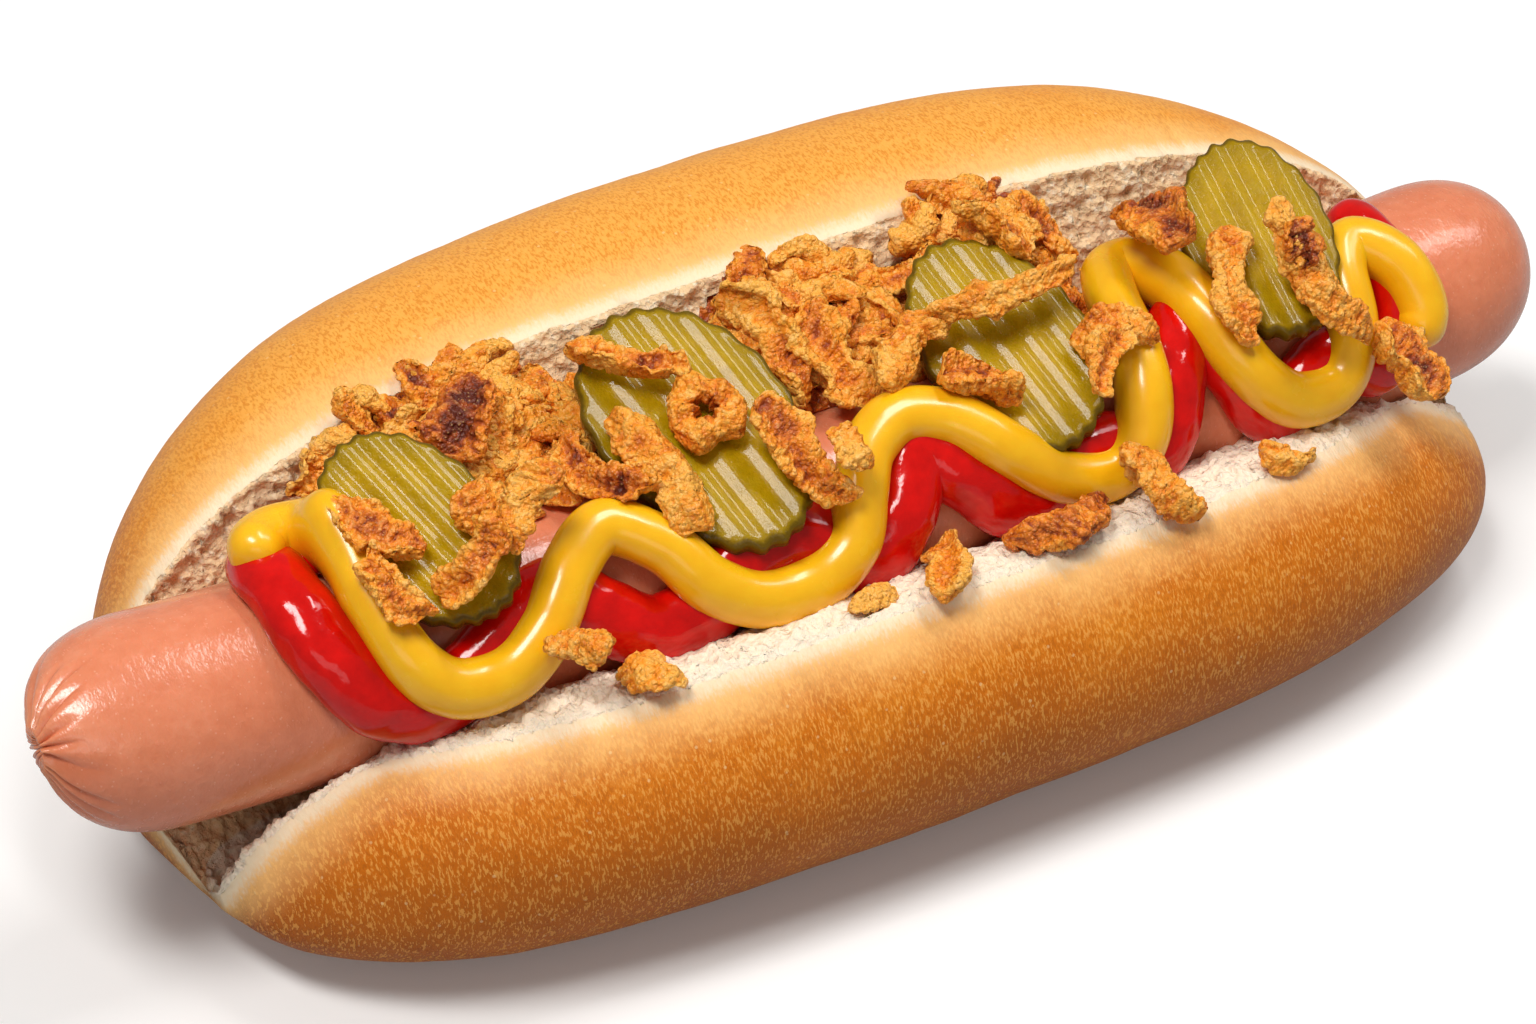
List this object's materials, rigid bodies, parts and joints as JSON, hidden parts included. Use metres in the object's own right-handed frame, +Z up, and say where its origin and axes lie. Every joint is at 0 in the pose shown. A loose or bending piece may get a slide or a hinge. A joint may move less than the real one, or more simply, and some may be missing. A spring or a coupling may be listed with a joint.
{
  "type": "hot dog",
  "caption": "Long frankfurter in an opened wheat roll, topped with ketchup, mustard, pickle slices and crispy fried onions; rests on its flat underside.",
  "frame": {"origin": "on the table, under the middle of the whole hot dog", "axes": "+X along the sausage, +Y from the low opened half of the roll to its tall half, +Z up"},
  "size_m": [0.1936, 0.0918, 0.0587],
  "materials": {
    "roll": "baked golden wheat crust, satin, with a pale open crumb on the cut faces",
    "sausage": "moist pink frankfurter skin, fine-grained, satin shine",
    "ketchup": "deep red tomato sauce, wet gloss",
    "mustard": "bright yellow mustard, smooth wet gloss",
    "pickle": "olive yellow crinkle-cut flesh with a dark green skin, wet",
    "fried_onion": "crisp golden brown batter with darker fried spots"
  },
  "bodies": {
    "root": {"roll": "roll", "sausage": "sausage", "ketchup": "ketchup", "mustard": "mustard", "pickle_1": "pickle", "pickle_2": "pickle", "pickle_3": "pickle", "pickle_4": "pickle", "onion_heap_1": "fried_onion", "onion_heap_2": "fried_onion", "onion_heap_3": "fried_onion", "onion_ring": "fried_onion", "onion_01": "fried_onion", "onion_02": "fried_onion", "onion_03": "fried_onion", "onion_04": "fried_onion", "onion_05": "fried_onion", "onion_06": "fried_onion", "onion_07": "fried_onion", "onion_08": "fried_onion", "onion_09": "fried_onion", "onion_10": "fried_onion", "onion_11": "fried_onion", "onion_12": "fried_onion", "onion_13": "fried_onion", "onion_14": "fried_onion", "onion_15": "fried_onion", "onion_16": "fried_onion", "onion_17": "fried_onion", "onion_18": "fried_onion", "onion_19": "fried_onion", "onion_20": "fried_onion", "onion_21": "fried_onion", "onion_22": "fried_onion", "onion_23": "fried_onion", "onion_24": "fried_onion", "onion_25": "fried_onion", "onion_26": "fried_onion", "onion_27": "fried_onion", "onion_28": "fried_onion", "onion_29": "fried_onion", "onion_30": "fried_onion", "onion_31": "fried_onion", "onion_32": "fried_onion", "onion_33": "fried_onion", "onion_34": "fried_onion", "onion_35": "fried_onion", "onion_36": "fried_onion"}
  },
  "joints": []
}
